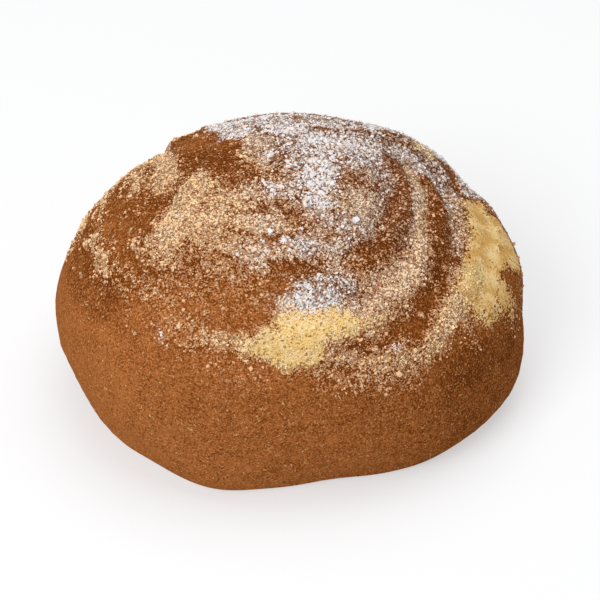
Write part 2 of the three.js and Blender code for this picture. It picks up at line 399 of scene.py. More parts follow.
BARE_STROKES = (
    (1.0, 8, ((-27, 37), (-23, 18), (-20, 6))),
    (0.9, 6, ((-17, 11), (-15.5, 6), (-15.5, -1.5))),
    (0.55, 4, ((-10, -1), (-6, -2.5))),
    (0.50, 4, ((1.5, -15.5), (3, -17.5))),
    (0.40, 5, ((-13, -2), (-12, -7))),
    (0.35, 3, ((-6, -12.5), (-5, -14.5))),
    (0.25, 4, ((3, 30), (4, 27))),
    (0.35, 4, ((6, -20.5), (10, -23))),
    (0.50, 8, ((-25, -42.5), (-8, -44.5))),
    (0.25, 3, ((-9, 8), (-7, 5))),
    (0.40, 4, ((10, 21), (18, 24))),
    (0.30, 4, ((15, -4), (18, -7))),
    (0.35, 2, ((-0.6, 5), (-1.2, 3))),
    (0.92, 6.5, ((-44, -5), (-40.5, -12.5), (-35, -14.5))),
    (0.7, 5, ((-37, -4), (-33, -9))),
    (0.6, 3, ((-27, -2), (-26.5, -7))),
    (0.6, 4, ((-46, 14), (-44, 2))),
    (0.4, 4, ((-23, -26.5), (-21, -28))),
    (0.3, 3, ((-14, -24), (-8, -25), (-4, -25.5))),
    (0.5, 3, ((-20, -48.5), (-10, -49))),
    (0.4, 4, ((27, 32), (27, 22))),
    (0.75, 4.5, ((37.5, 6), (38.5, -2), (39, -12))),
    (0.50, 4, ((39, -12), (41, -20), (40.5, -28), (38, -34))),
    (0.75, 4, ((38, -34), (35, -41), (31.5, -45))),
    (0.6, 3, ((48, 25), (47, 15))),
    (0.44, 4, ((29, 6), (29, -4), (27.5, -12), (25, -20), (22, -26))),
    (0.6, 5, ((-2, -34), (4, -33), (9, -31))),
    (0.3, 3, ((-2, -1), (-1, -5))),
    (0.3, 5, ((-12, -38), (-3, -39))),
    (0.4, 4, ((22, -54), (27, -53))),
    (0.40, 4, ((63, -16), (70, -18))),
)
DUSTED_STROKES = (
    (1.00, 30, ((-16, 30), (4, 32), (24, 28), (42, 22))),
    (0.80, 16, ((-2, 12), (5, 4), (8, -10))),
    (0.90, 18, ((20, 8), (26, -4), (23, -16))),
    (0.80, 14, ((12, -20), (8, -30), (4, -41), (13, -41))),
    (0.40, 10, ((-7, -9), (-4, -14), (-3, -24), (-6, -30))),
    (0.35, 10, ((34, -10), (33, -28), (24, -38))),
    (0.60, 8, ((45, 10), (45, -20))),
)
# Strokes where the crust is darker, and where it is paler
DARKER_STROKES = (
    (0.90, 14, ((-58, -6), (-54, -20), (-48, -31))),
    (0.50, 12, ((14, -59), (32, -56))),
    (0.50, 14, ((30, 21), (40, 14))),
    (0.60, 12, ((51, -55), (62, -46), (72, -31))),
)
PALER_STROKES = (
    (1.00, 16, ((-30, -42), (-8, -46), (0, -46))),
    (0.60, 14, ((-22, 19), (-14, 15))),
    (0.20, 14, ((-42, -16), (-32, -14))),
    (0.70, 10, ((-17, -59.5), (-6, -61))),
)
LAYERS = {
    "white": WHITE_STROKES,
    "cream": CREAM_STROKES,
    "gold": GOLD_STROKES,
    "dough": DOUGH_STROKES,
    "clumped": CLUMP_STROKES,
    "dusted": DUSTED_STROKES,
}
# Rings of sugar round the back: how dense, how wide, how far down, and from which degree round to which
BACK_RINGS = (
    (0.55, 7, 52, 62, 112),
    (0.60, 6, 48, 118, 160),
    (0.45, 5, 60, 70, 150),
    (0.26, 20, 54, 60, 165),
)


class Field:
    """A smooth random field over space, from -1 to 1, the same on every run."""

    def __init__(self, seed):
        self.values = np.random.default_rng(seed).uniform(-1, 1, (CELLS,) * 3)

    def __call__(self, points, size):
        scaled = points / size
        base = np.floor(scaled).astype(int)
        part = scaled - base
        part = part * part * (3 - 2 * part)
        total = np.zeros(len(points))
        for corner in itertools.product((0, 1), repeat=3):
            x, y, z = ((base + corner) % CELLS).T
            share = np.where(corner, part, 1 - part).prod(axis=1)
            total += share * self.values[x, y, z]
        return total

    def layers(self, points, size, count):
        """The field with finer layers on top, each half as wide and half as strong."""
        total = sum(self(points + LAYER_SHIFT * i, size / 2**i) / 2**i for i in range(count))
        return total / (2 - 0.5 ** (count - 1))


def cobbles(points, size, seed):
    """Rounded lumps packed side by side: 0 in the gaps between them to 1 on them, and a number for each."""
    random = np.random.default_rng(seed)
    offsets = random.random((CELLS, CELLS, CELLS, 3))
    numbers = random.random((CELLS, CELLS, CELLS))
    scaled = points / size
    base = np.floor(scaled).astype(int)
    first = np.full(len(points), np.inf)
    second = np.full(len(points), np.inf)
    number = np.zeros(len(points))
    for corner in itertools.product((-1, 0, 1), repeat=3):
        cell = base + corner
        x, y, z = (cell % CELLS).T
        far = np.linalg.norm(cell + offsets[x, y, z] - scaled, axis=1)
        second = np.minimum(second, np.maximum(first, far))
        number = np.where(far < first, numbers[x, y, z], number)
        first = np.minimum(first, far)
    return 1 - (1 - np.minimum(1, (second - first) / CLUMP_SLOPE)) ** 2, number


def smooth(value, low, high):
    """0 below low, 1 above high, and a soft step between."""
    share = np.clip((value - low) / (high - low), 0, 1)
    return share * share * (3 - 2 * share)


def waves(turn, wave, count):
    """Waves round the bun: so many of them, of one share, with a crest at one angle in degrees."""
    share, at = wave
    return share * np.cos(count * (turn - math.radians(at)))


def apart(a, b):
    """The angle between two directions, in degrees, from 0 to 180."""
    turn = np.abs(a - b) % 360
    return np.minimum(turn, 360 - turn)


def dome(turn, rise):
    """Points of the plain dome, for arrays of angles in radians."""
    plan = MEAN_RADIUS * (1 + waves(turn, OVAL, 2) + waves(turn, THREE_SIDED, 3))
    low = np.maximum(0, rise / FOOT_RISE)
    high = np.maximum(0, np.sin(rise))
    foot = low * (waves(turn, FOOT_SHIFT, 1) + waves(turn, FOOT_OVAL, 2))
    shoulder = high * waves(turn, SHOULDER_OVAL, 2)
    radius = plan * np.cos(rise) * (1 + foot) * (1 + shoulder)
    above = np.where(rise < 0, UNDERCUT_DEPTH * np.sin(rise), DOME_RISE * high**DOME_FULLNESS)
    height = WIDEST_HEIGHT + above
    lean = (height / (WIDEST_HEIGHT + DOME_RISE)) ** 2
    x = radius * np.cos(turn) + TOP_LEAN[0] * lean
    y = radius * np.sin(turn) + TOP_LEAN[1] * lean
    return np.stack([x, y, height], axis=-1)


def outward(turn, rise):
    """Unit vectors out of the dome, level at the foot."""
    nudge = 0.002
    point = dome(turn, rise)
    out = np.cross(dome(turn + nudge, rise) - point, dome(turn, rise + nudge) - point)
    out[rise <= FOOT_RISE, 2] = 0
    out[rise > math.pi / 2 - nudge] = (0, 0, 1)
    return out / np.linalg.norm(out, axis=-1, keepdims=True)


def swirl(points):
    """The spiral's height, from -1 in its hollows to 1 on its ridges, faded where it is faint."""
    x, y = points[:, 0] - SWIRL_CENTRE[0], points[:, 1] - SWIRL_CENTRE[1]
    out, turn = np.hypot(x, y), np.arctan2(y, x)
    phase = (out - SWIRL_START) / SWIRL_PITCH + turn / (2 * math.pi)
    span = smooth(out, *SWIRL_FROM) * (1 - smooth(out, *SWIRL_TO))
    deep = 1 - smooth(apart(np.degrees(turn), SWIRL_AT), *SWIRL_HALF)
    return span * (FAINT_SWIRL + (1 - FAINT_SWIRL) * deep) * np.cos(2 * math.pi * phase)


def fold(points, softness):
    """The fold's height: sunk on its outer side, with a low lip on its inner side."""
    inside = points[:, 0] - FOLD_X + FOLD_BEND * (points[:, 1] - FOLD_MIDDLE_Y) ** 2
    front, back = FOLD_Y
    along = smooth(points[:, 1], front, front + FOLD_END) * (1 - smooth(points[:, 1], back - FOLD_END, back))
    sunk = -FOLD_STEP * np.exp(np.minimum(0, inside) / FOLD_RECOVERY)
    lip = FOLD_LIP * np.exp(-np.maximum(0, inside) / FOLD_RECOVERY)
    step = smooth(inside, -softness, softness)
    return along * (sunk + (lip - sunk) * step)


def swells(turn, rise):
    """How high the round swells and hollows lift the dome."""
    around, down = np.degrees(turn), 90 - np.degrees(rise)
    total = np.zeros(len(turn))
    for at_round, at_down, height, width in SWELLS:
        aside = apart(around, at_round) * np.sin(np.radians(np.minimum(down, 90)))
        total += height * np.exp(-(aside**2 + (down - at_down) ** 2) / width**2)
    return total


def chart(points):
    """Where points lie on the dome's chart, in degrees from the top to the right and to the back."""
    x, y, z = ((points - CHART_MIDDLE) / (HIGH - [0, 0, WIDEST_HEIGHT])).T
    down = np.degrees(np.arctan2(np.hypot(x, y), z))
    turn = np.arctan2(y, x)
    return np.stack([down * np.cos(turn), down * np.sin(turn)], axis=-1)


def stroke(places, width, path):
    """1 along the path on the chart, falling to 0 past its half width."""
    path = np.array(path, float)
    nearest = np.full(len(places), np.inf)
    for start, end in zip(path[:-1], path[1:]):
        along = end - start
        share = np.clip((places - start) @ along / (along @ along), 0, 1)
        nearest = np.minimum(nearest, np.linalg.norm(places - start - share[:, None] * along, axis=1))
    (most_in, share_in), (most_out, share_out) = FADE_INSIDE, FADE_OUTSIDE
    inside, outside = min(most_in, share_in * width), min(most_out, share_out * width)
    return 1 - smooth(nearest, 0.5 * width - inside, 0.5 * width + outside)


def painted(places, strokes):
    """The densest stroke at each place on the chart."""
    cover = np.zeros(len(places))
    for dense, width, path in strokes:
        cover = np.maximum(cover, dense * stroke(places, width, path))
    return cover


def ring(down, start, end):
    """A path on the chart round the top, from one angle in degrees to another."""
    steps = np.radians(np.arange(start, end + 1, 6))
    return tuple((down * math.cos(step), down * math.sin(step)) for step in steps)


def ringwise(points):
    """Places where a field is drawn out along the spiral's rings."""
    x, y = points[:, 0] - SWIRL_CENTRE[0], points[:, 1] - SWIRL_CENTRE[1]
    out, turn = np.hypot(x, y), np.arctan2(y, x)
    return np.stack([out, ALONG_RINGS * np.cos(turn), ALONG_RINGS * np.sin(turn)], axis=-1)


def coverage(points):
    """How densely each kind of topping covers the crust at points, from 0 to 1, by its name."""
    field = Field(COVER_SEED)
    places = chart(points)
    for size, reach in WANDERS:
        sideways = [field.layers(points + shift, size, 2) for shift in SIDEWAYS_SHIFTS]
        places = places + reach * np.stack(sideways, axis=-1)
    bare = 1 - painted(places, BARE_STROKES)
    layers = {name: painted(places, strokes) * bare for name, strokes in LAYERS.items()}
    back = painted(places, [(dense, width, ring(*arc)) for dense, width, *arc in BACK_RINGS])
    sprinkle = SPRINKLE * (1 - smooth(np.hypot(*places.T), *SPRINKLE_TO))
    sprinkle = sprinkle * (SPRINKLE_ON_BARE + (1 - SPRINKLE_ON_BARE) * bare)
    layers["cream"] = np.maximum.reduce([layers["cream"], back, sprinkle])
    layers["sugar"] = np.maximum.reduce([layers["white"], layers["cream"], layers["gold"]])
    layers["cream"] = layers["cream"] * (1 - CREAM_HIDDEN * layers["white"])
    streaks = field.layers(points * (1, STREAK_SQUEEZE, 1) + STREAK_SHIFT, STREAK_SIZE, 2)
    streaks = streaks * smooth(-points[:, 0], *STREAKS_FROM) * (1 - smooth(points[:, 1], *STREAKS_TO))
    for name in ("cream", "sugar"):
        layers[name] = layers[name] + STREAK_STRENGTH * streaks * smooth(layers[name], *STREAKED_COVER)
    spotty = field.layers(points + UNEVEN_SHIFT, UNEVEN_SIZE, 3)
    uneven = 0.5 * spotty + 0.5 * field.layers(ringwise(points), ACROSS_RINGS, 2)
    return {name: np.clip(layer + layer * (1 - layer) * uneven, 0, 1) for name, layer in layers.items()}


def crust_grid(fine, coarse):
    """The angles of the dome's points, its triangles, and its foot's ring. The top has the finer points."""
    rises = np.linspace(FOOT_RISE, math.pi / 2, PROFILE_STEPS)
    profile = dome(np.zeros(PROFILE_STEPS), rises)
    lengths = np.linalg.norm(np.diff(profile, axis=0), axis=1)
    gaps = coarse + (fine - coarse) * smooth(np.degrees(rises), *FINE_FROM)
    passed = np.concatenate([[0], np.cumsum(lengths / gaps[1:])]) / ROW_HEIGHT
    ring_rises = np.interp(np.arange(int(passed[-1])) * passed[-1] / int(passed[-1]), passed, rises)

    turns, ups, starts = [], [], []
    for i, rise in enumerate(ring_rises):
        gap = np.interp(rise, rises, gaps)
        around = max(6, round(2 * math.pi * MEAN_RADIUS * math.cos(rise) / gap))
        starts.append((len(turns), around))
        offset = 0.5 * (i % 2)
        turns.extend(2 * math.pi * (k + offset) / around for k in range(around))
        ups.extend([rise] * around)
    triangles = []
    for (first, n), (above, m) in zip(starts[:-1], starts[1:]):
        triangles.extend(joined(first, n, above, m))
    last, n = starts[-1]
    triangles.extend((last + k, last + (k + 1) % n, len(turns)) for k in range(n))
    return np.array([*turns, 0.0]), np.array([*ups, math.pi / 2]), np.array(triangles), starts[0]


def crust_points(turn, rise, ridge_height, fold_softness):
    """The crust's points and outward vectors, with its relief but not its fine wrinkles."""
    points = dome(turn, rise)
    normals = outward(turn, rise)
    top = smooth(points[:, 2], *TOP_FROM)
    relief = swells(turn, rise) + top * (ridge_height * swirl(points) + fold(points, fold_softness))
    inset = FOOT_ROUNDING * (1 - np.sqrt(1 - (1 - np.clip(points[:, 2] / FOOT_ROUNDING, 0, 1)) ** 2))
    points = points + normals * (relief - inset)[:, None]
    middle = 0.5 * (points.min(axis=0) + points.max(axis=0))
    points[:, :2] -= middle[:2]
    return points, normals


def solid_lumps(points, normals):
    """The places and heights of the sugar lumps on the solid, which stand proud of the smooth crust."""
    tree = KDTree(len(points))
    for index, point in enumerate(points):
        tree.insert(point, index)
    tree.balance()
    proud = []
    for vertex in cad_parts[NODE].data.vertices:
        place = np.array(vertex.co) / MM
        _, index, _ = tree.find(place)
        proud.append((float((place - points[index]) @ normals[index]), *place))
    kept = []
    for height, *place in sorted(proud, reverse=True):
        if height < LUMP_LEAST:
            break
        if place[2] > WIDEST_HEIGHT and all(math.dist(place, other) > LUMP_APART for _, other in kept):
            kept.append((height, place))
    return kept


def lump_relief(points, lumps, field):
    """How high the lumps raise the crust at points, and how much a point is lump, from 0 to 1."""
    rough = 1 + LUMP_ROUGHNESS * field.layers(points + LUMP_SHIFT, LUMP_ROUGH_SIZE, 2)
    total, share = np.zeros(len(points)), np.zeros(len(points))
    for height, place in lumps:
        off = np.linalg.norm(points - place, axis=1) * rough / (LUMP_SPREAD * height)
        near = off < 1
        total[near] = np.maximum(total[near], height * (1 - off[near] ** 2) ** 0.7)
        share[near] = np.maximum(share[near], 1 - off[near] ** 4)
    return total, share


def caked(points, cover, clumped, field):
    """The caked sugar's height, from 0 to 1, how deep in a crease a point is, and its clump's number."""
    left = smooth(-points[:, 0], *STREAKS_FROM)
    streaked = points.copy()
    streaked[:, 1] *= 1 - CLUMPS_SQUEEZED * left
    bends = np.stack([field(points + shift, BEND_SIZE) for shift in BEND_SHIFTS], axis=-1)
    (large, number), (small, _) = (
        cobbles(streaked + bend * bends, size, seed) for size, bend, seed in (LARGE_CLUMPS, SMALL_CLUMPS)
    )
    share = np.maximum(CLUMPED_BY_STROKES * clumped, CLUMPED_BY_STREAKS * left) + LEAST_CLUMPED
    share = np.clip(share, 0, 1)
    clumps = LARGE_SHARE * large + (1 - LARGE_SHARE) * small
    height = cover * (EVEN_CAKE + (1 - EVEN_CAKE) * share * clumps)
    shallow = SMALL_CREASE_DEPTH * (1 - smooth(small, *SMALL_CREASE))
    crease = np.maximum(1 - smooth(large, *LARGE_CREASE), shallow)
    return height, crease * (LEAST_CLUMPED + (1 - LEAST_CLUMPED) * share), number


def browning_and_shade(points, field):
    """How dark the crust is at points: baked darker on the top, darker to the right partly as painted shade,
    and darker or paler as the strokes say.
    """
    x, _, z = points.T
    places = chart(points)
    strokes = painted(places, DARKER_STROKES) - painted(places, PALER_STROKES)
    bake_and_shade = BAKED + BAKED_UNEVENLY * field.layers(points + BAKE_SHIFT, BAKED_PATCH, 2) + BAKED_AND_SHADED_TO_RIGHT * x
    return bake_and_shade + BAKED_ON_TOP * smooth(z, *BAKED_TOP_FROM) + TONED_BY_STROKES * strokes


def joined(first, n, above, m):
    """Triangles between a ring of n points and the ring of m points above it."""
    i = j = 0
    while i < n or j < m:
        a, b = first + i % n, above + j % m
        if j >= m or (i < n and (i + 0.5) / n < (j + 0.5) / m):
            yield a, first + (i + 1) % n, b
            i += 1
        else:
            yield a, above + (j + 1) % m, b
            j += 1


def underside(points, foot):
    """The flat underside inside the foot's ring: its points, and its triangles facing down."""
    first, n = foot
    rim = points[first : first + n]
    middle = rim.mean(axis=0)
    made, triangles = [], []
    outer, count = first, n
    for share in UNDERSIDE_RINGS:
        fewer = max(UNDERSIDE_LEAST, round(count * UNDERSIDE_THINNING))
        picked = rim[np.arange(fewer) * n // fewer]
        start = len(points) + len(made)
        made.extend(middle + (picked - middle) * share)
        triangles.extend((a, c, b) for a, b, c in joined(outer, count, start, fewer))
        outer, count = start, fewer
    made.append(middle)
    hub = len(points) + len(made) - 1
    triangles.extend((outer + (k + 1) % count, outer + k, hub) for k in range(count))
    return np.array(made), np.array(triangles)


def new_piece(name, points, faces, smooth_faces):
    """A mesh piece from points in millimetres, riding on the bun's body."""
    mesh = bpy.data.meshes.new(name)
    mesh.vertices.add(len(points))
    mesh.vertices.foreach_set("co", (points * MM).ravel())
    sides = faces.shape[1]
    mesh.loops.add(faces.size)
    mesh.loops.foreach_set("vertex_index", faces.ravel())
    mesh.polygons.add(len(faces))
    mesh.polygons.foreach_set("loop_start", np.arange(0, faces.size, sides))
    mesh.polygons.foreach_set("use_smooth", np.full(len(faces), smooth_faces))
    mesh.update(calc_edges=True)
    mesh.validate()
    piece = bpy.data.objects.new(name, mesh)
    bpy.context.scene.collection.objects.link(piece)
    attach(piece, BODY)
    return piece


def store(piece, name, values):
    """Keeps a number for each vertex, for the material to read."""
    attribute = piece.data.attributes.new(name, "FLOAT", "POINT")
    attribute.data.foreach_set("value", values.astype(np.float32))


def stored(piece, name):
    """The numbers kept for each vertex."""
    values = np.zeros(len(piece.data.vertices), np.float32)
    piece.data.attributes[name].data.foreach_get("value", values)
    return values


def face_arrays(piece):
    """The piece's vertex places in millimetres, its triangles' corners and its vertex normals."""
    mesh = piece.data
    points = np.zeros(len(mesh.vertices) * 3, np.float32)
    mesh.vertices.foreach_get("co", points)
    normals = np.zeros(len(mesh.vertices) * 3, np.float32)
    mesh.vertices.foreach_get("normal", normals)
    corners = np.zeros(len(mesh.polygons) * 3, np.int32)
    mesh.polygons.foreach_get("vertices", corners)
    return points.reshape(-1, 3) / MM, corners.reshape(-1, 3), normals.reshape(-1, 3)


def scattered(piece, cover, density, random):
    """Random spots on a piece, density to a square millimetre where cover is full.

    Gives their places, the normals there, and a corner of the triangle that each lies on.
    """
    points, corners, normals = face_arrays(piece)
    a, b, c = points[corners[:, 0]], points[corners[:, 1]], points[corners[:, 2]]
    area = 0.5 * np.linalg.norm(np.cross(b - a, c - a), axis=1)
    share = area * cover[corners].mean(axis=1) ** CROWDING
    count = min(MOST_GRAINS, round(density * share.sum()))
    picked = random.choice(len(corners), count, p=share / share.sum())
    u, v = random.random((2, count, 1))
    over = u + v > 1
    u, v = np.where(over, 1 - u, u), np.where(over, 1 - v, v)
    places = a[picked] + u * (b - a)[picked] + v * (c - a)[picked]
    return places, normals[corners[picked, 0]], corners[picked, 0]


def turned(count, random):
    """Random rotation matrices."""
    q = random.normal(size=(count, 4))
    w, x, y, z = (q / np.linalg.norm(q, axis=1, keepdims=True)).T
    rows = [
        [1 - 2 * (y * y + z * z), 2 * (x * y - z * w), 2 * (x * z + y * w)],
        [2 * (x * y + z * w), 1 - 2 * (x * x + z * z), 2 * (y * z - x * w)],
        [2 * (x * z - y * w), 2 * (y * z + x * w), 1 - 2 * (x * x + y * y)],
    ]
    return np.array(rows).transpose(2, 0, 1)


def ball():
    """A rounded lump a unit across: its corners and triangles."""
    made = bmesh.new()
    bmesh.ops.create_icosphere(made, subdivisions=2, radius=0.5)
    corners = np.array([vertex.co for vertex in made.verts])
    faces = np.array([[vertex.index for vertex in face.verts] for face in made.faces])
    made.free()
    return corners, faces


class Grain(NamedTuple):
    """What one kind of grain is like. All but its size are shares of its width.

    Its middle lies off the crust by a share between the two of lift, chips is how far its corners are moved,
    and shape holds its corners and faces before that.
    """

    size: float
    spread: float
    lift: tuple
    chips: float = 0.16
    shape: tuple = BLOCK


def grains(name, crust, layer, density, grain, random):
    """Loose grains of one kind, each chipped its own way, on the crust where the layer covers it."""
    places, normals, near = scattered(crust, stored(crust, layer), density, random)
    count = len(places)
    base, base_faces = grain.shape
    sizes = grain.size * np.exp(random.normal(0, grain.spread, (count, 1, 1)))
    sizes = sizes * random.uniform(*GRAIN_STRETCH, (count, 1, 3))
    shapes = base + random.uniform(-grain.chips, grain.chips, (count, len(base), 3))
    corners = np.einsum("nij,nkj->nki", turned(count, random), shapes * sizes)
    corners += (places + normals * random.uniform(*grain.lift, (count, 1)) * sizes.mean(axis=2))[:, None, :]
    faces = base_faces[None] + len(base) * np.arange(count)[:, None, None]
    smooth_faces = base_faces.shape[1] == 3
    piece = new_piece(name, corners.reshape(-1, 3), faces.reshape(-1, base_faces.shape[1]), smooth_faces)
    store(piece, "tint", np.repeat(random.random(count), len(base)))
    for below in ("sugar", "dusted"):
        store(piece, below, np.repeat(stored(crust, below)[near], len(base)))
    return piece


class Value:
    """A socket that carries a number. Sums and products of values add the Math nodes they need."""

    def __init__(self, finish, socket):
        self.finish = finish
        self.socket = socket

    def _math(self, operation, *others):
        return self.finish.value("ShaderNodeMath", {"operation": operation}, *others)

    def __add__(self, other):
        return self._math("ADD", self, other)

    def __sub__(self, other):
        return self._math("SUBTRACT", self, other)

    def __rsub__(self, other):
        return self._math("SUBTRACT", other, self)

    def __mul__(self, other):
        return self._math("MULTIPLY", self, other)

    __radd__ = __add__
    __rmul__ = __mul__

    def between(self, low, high):
        """0 at low and 1 at high, or the other way round, with soft ends."""
        settings = {"interpolation_type": "SMOOTHSTEP", "clamp": True}
        return self.finish.value("ShaderNodeMapRange", settings, self, low, high, 0.0, 1.0)

    def at_least(self, other):
        return self._math("MAXIMUM", self, other)


class Finish:
    """A material with a Principled shader, and short ways to add nodes to it."""

    def __init__(self, name):
        self.material = bpy.data.materials.new(name)
        self.material.use_nodes = True
        self.nodes = self.material.node_tree.nodes
        self.links = self.material.node_tree.links
        self.shader = self.nodes["Principled BSDF"]
        self.shader.inputs["Specular IOR Level"].default_value = 0.0

    def node(self, kind, settings=None, *inputs, **named):
        """Adds a node: its settings first, then values or links for its sockets, in order or by name."""
        made = self.nodes.new(kind)
        for key, setting in (settings or {}).items():
            setattr(made, key, setting)
        for key, given in [*enumerate(inputs), *named.items()]:
            if given is not None:
                self.feed(made.inputs[key if isinstance(key, int) else key.replace("_", " ")], given)
        return made

    def feed(self, socket, given):
        """Links a value or a socket, or sets a number or a colour."""
        if isinstance(given, Value):
            given = given.socket
        if isinstance(given, bpy.types.NodeSocket):
            self.links.new(given, socket)
        elif socket.type == "RGBA":
            socket.default_value = (*given, 1.0)
        else:
            socket.default_value = given

    def value(self, kind, settings=None, *inputs, **named):
        """Adds a node and gives its first output."""
        return Value(self, self.node(kind, settings, *inputs, **named).outputs[0])

    def stored(self, name):
        """The number that the piece keeps for each vertex."""
        made = self.node("ShaderNodeAttribute", {"attribute_name": name, "attribute_type": "GEOMETRY"})
        return Value(self, made.outputs["Fac"])

    def place(self):
        return self.node("ShaderNodeTexCoord").outputs["Object"]

    def noise(self, size, detail, roughness=0.5):
        """Soft noise around 0, whose largest lumps are size millimetres across."""
        sockets = {"Vector": self.place(), "Scale": 1 / (size * MM), "Detail": detail, "Roughness": roughness}
        return self.value("ShaderNodeTexNoise", **sockets) - 0.5

    def cells(self, size):
        """Grains about size millimetres across: a number for each, and how far a spot is from its middle."""
        made = self.node("ShaderNodeTexVoronoi", Vector=self.place(), Scale=1 / (size * MM))
        parts = self.node("ShaderNodeSeparateColor", None, made.outputs["Color"])
        return Value(self, parts.outputs["Red"]), Value(self, made.outputs["Distance"])

    def mix(self, low, high, share):
        """A colour between two colours."""
        made = self.node("ShaderNodeMix", {"data_type": "RGBA"})
        for index, given in ((0, share), (6, low), (7, high)):
            self.feed(made.inputs[index], given)
        return made.outputs[2]

    def bump(self, height, distance):
        """A normal that leans as a relief does, distance millimetres high."""
        return self.node("ShaderNodeBump", Distance=distance * MM, Height=height).outputs["Normal"]

    def dress(self, piece, **sockets):
        """Feeds the shader and gives the material to a piece."""
        for key, given in sockets.items():
            self.feed(self.shader.inputs[key.replace("_", " ")], given)
        piece.data.materials.append(self.material)


def crust_finish(look):
    """The browned crust and the sugar caked on it, which thins out as irregular specks, with painted shade on
    its grains and in its pits and creases.

    The numbers in it are weights and thresholds.
    """
    finish = Finish("browned_crust")
    white, cream, gold, dough = (finish.stored(name) for name in ("white", "cream", "gold", "dough"))
    sugar, crease, cobble, bake_and_shade = (finish.stored(name) for name in ("sugar", "crease", "cobble", "bake_and_shade"))
    dusted = finish.stored("dusted")
    mottle = finish.noise(MOTTLE, 3)
    coarse = finish.noise(COARSE, 2)
    medium = finish.noise(MEDIUM, 2, 0.6)
    fine = finish.noise(FINE, 1, 0.7)
    patchy = (finish.noise(PATCH, 2) + medium * 0.5).between(-0.1, 0.1)
    grain, grain_edge = finish.cells(GRAIN)
    spot, spot_edge = finish.cells(SPOT)

    # The crust's brown: darker next to the sugar as painted shade, and darker to the right partly as painted
    # shade through the baking value
    tone = (1 - bake_and_shade) * 0.6 + 0.24 + mottle * 0.5 + medium * 0.65 + fine * 1.9 + (grain - 0.5) * 0.4
    darkest = finish.mix(look.crust_dark_and_shade, look.scorched, bake_and_shade.between(0.5, 1.5))
    brown = finish.mix(darkest, look.crust, (tone - sugar * 0.45).between(-0.05, 1.0))
    brown = finish.mix(brown, look.speck, (fine + medium * 0.3).between(0.09, 0.30) * 0.6)

    # Which topping it is
    gold_share = (gold - white.at_least(cream) + coarse).between(-0.3, 0.3)
    white_share = (white - cream * 0.8 + coarse * 1.6).between(-0.25, 0.5) * white.between(0.1, 0.85)
    calm = white_share.at_least(gold_share * gold)

    # The topping where it is fresh and thick
    fresh = finish.mix(look.cream, look.blush, patchy)
    frosted = (cobble + mottle * 2.0 + coarse).between(0.6, 1.1) * (1 - gold_share)
    fresh = finish.mix(fresh, look.frost, frosted * 0.4)
    fresh = finish.mix(fresh, look.rose, dusted * 0.8)
    whites = finish.mix(look.white, look.rose, (cobble + mottle * 1.5).between(0.55, 1.0))
    fresh = finish.mix(fresh, whites, white_share)
    fresh = finish.mix(fresh, finish.mix(look.gold, look.gold_pale, patchy), gold_share)

    # Painted shade: shaded copies of the topping's colour where noise says, as on the dark sides of grains,
    # and painted shadow in the pits between them
    shade = finish.mix(look.toast_and_shade, look.white_shade, white_share)
    shade = finish.mix(shade, look.gold_shade, gold_share)
    lit = (fine * 2.6 + medium * 1.6 + (grain - 0.5) * 0.6) * (1.1 - calm * 0.62) + 0.62 + calm * 0.12
    fresh = finish.mix(shade, fresh, lit.between(-0.1, 0.8))
    # Painted shadow: small near-black pits between the grains, more of them in the creases
    gaps = coarse * 0.25 + crease * 0.10 - calm * 0.05 - gold_share * 0.04 - 0.10
    shaded_pits = (gaps - finish.noise(PIT, 0)).between(0.0, 0.07)
    fresh = finish.mix(fresh, finish.mix(look.pit_shadow, look.toast_and_shade, gold_share), shaded_pits * 0.75)

    # How thick it lies, from stained crust to caked sugar
    ragged = coarse * 1.1 + medium * 1.3 + fine * 2.8
    thick = sugar * 1.35 - 0.3 + sugar.between(0.0, 0.25) * 0.06 + gold_share * gold * 0.25 + ragged
    # Painted shade in the creases between clumps: the sugar thins there so the darker crust shows, partly the
    # crust seen through and partly standing in for shade
    thick = thick - crease * 0.8 * (1 - gold_share)
    film = thick.between(0.38, 0.70)
    stained = finish.mix(look.stained, look.dusky, dusted)
    sparse = finish.mix(look.sparse, look.ashen, dusted)
    colour = finish.mix(brown, stained, thick.between(-0.1, 0.36) * sugar.between(0.0, 0.15) * 0.9)
    colour = finish.mix(colour, sparse, thick.between(0.28, 0.50))
    colour = finish.mix(colour, fresh, film)

    # Dough that baked least
    soft = (dough * 1.6 - 0.45 + coarse * 1.6 + medium * 2.0 + fine * 2.4).between(0.15, 0.6)
    spots = (0.34 - spot_edge + fine * 0.8).between(0.0, 0.2) * (0.4 - spot).between(-0.05, 0.05)
    bared = (patchy * 0.6 + 0.2 + mottle * 3.0 + fine * 2.0 + medium).between(0.0, 1.1)
    bared = finish.mix(look.dough, look.dough_pale, bared)
    bared = finish.mix(bared, look.toast_and_shade, spots * 0.7)
    bared = finish.mix(bared, look.gold_shade, (0.0 - mottle * 1.6 - fine * 2.2 - medium).between(0.15, 1.0))
    colour = finish.mix(colour, bared, soft * (1 - film * (1 - dough)))

    height = film * (1.3 - grain_edge * 0.6) + (1 - soft * 0.7) * (fine * 1.4 + medium * 1.2)
    height = height + (1 - grain_edge) * 0.25 * (1 - soft * 0.6) - shaded_pits * film * 0.8
    return finish, {
        "Base_Color": colour,
        "Roughness": fine * 0.3 + 0.82,
        "Normal": finish.bump(height, look.grit / MM),
    }


def length(name, description, millimetres):
    """A length that a user can change, from its value in millimetres."""
    about = {"name": name, "description": description, "default": millimetres * MM}
    return FloatProperty(**about, min=0, precision=5, unit="LENGTH")


def hue(name, description, colour):
    """A colour that a user can change."""
    about = {"name": name, "description": description, "default": colour}
    return FloatVectorProperty(**about, min=0, max=1, subtype="COLOR")


def amount(name, description, default):
    """A number that a user can change."""
    return FloatProperty(name=name, description=description, default=default, min=0)


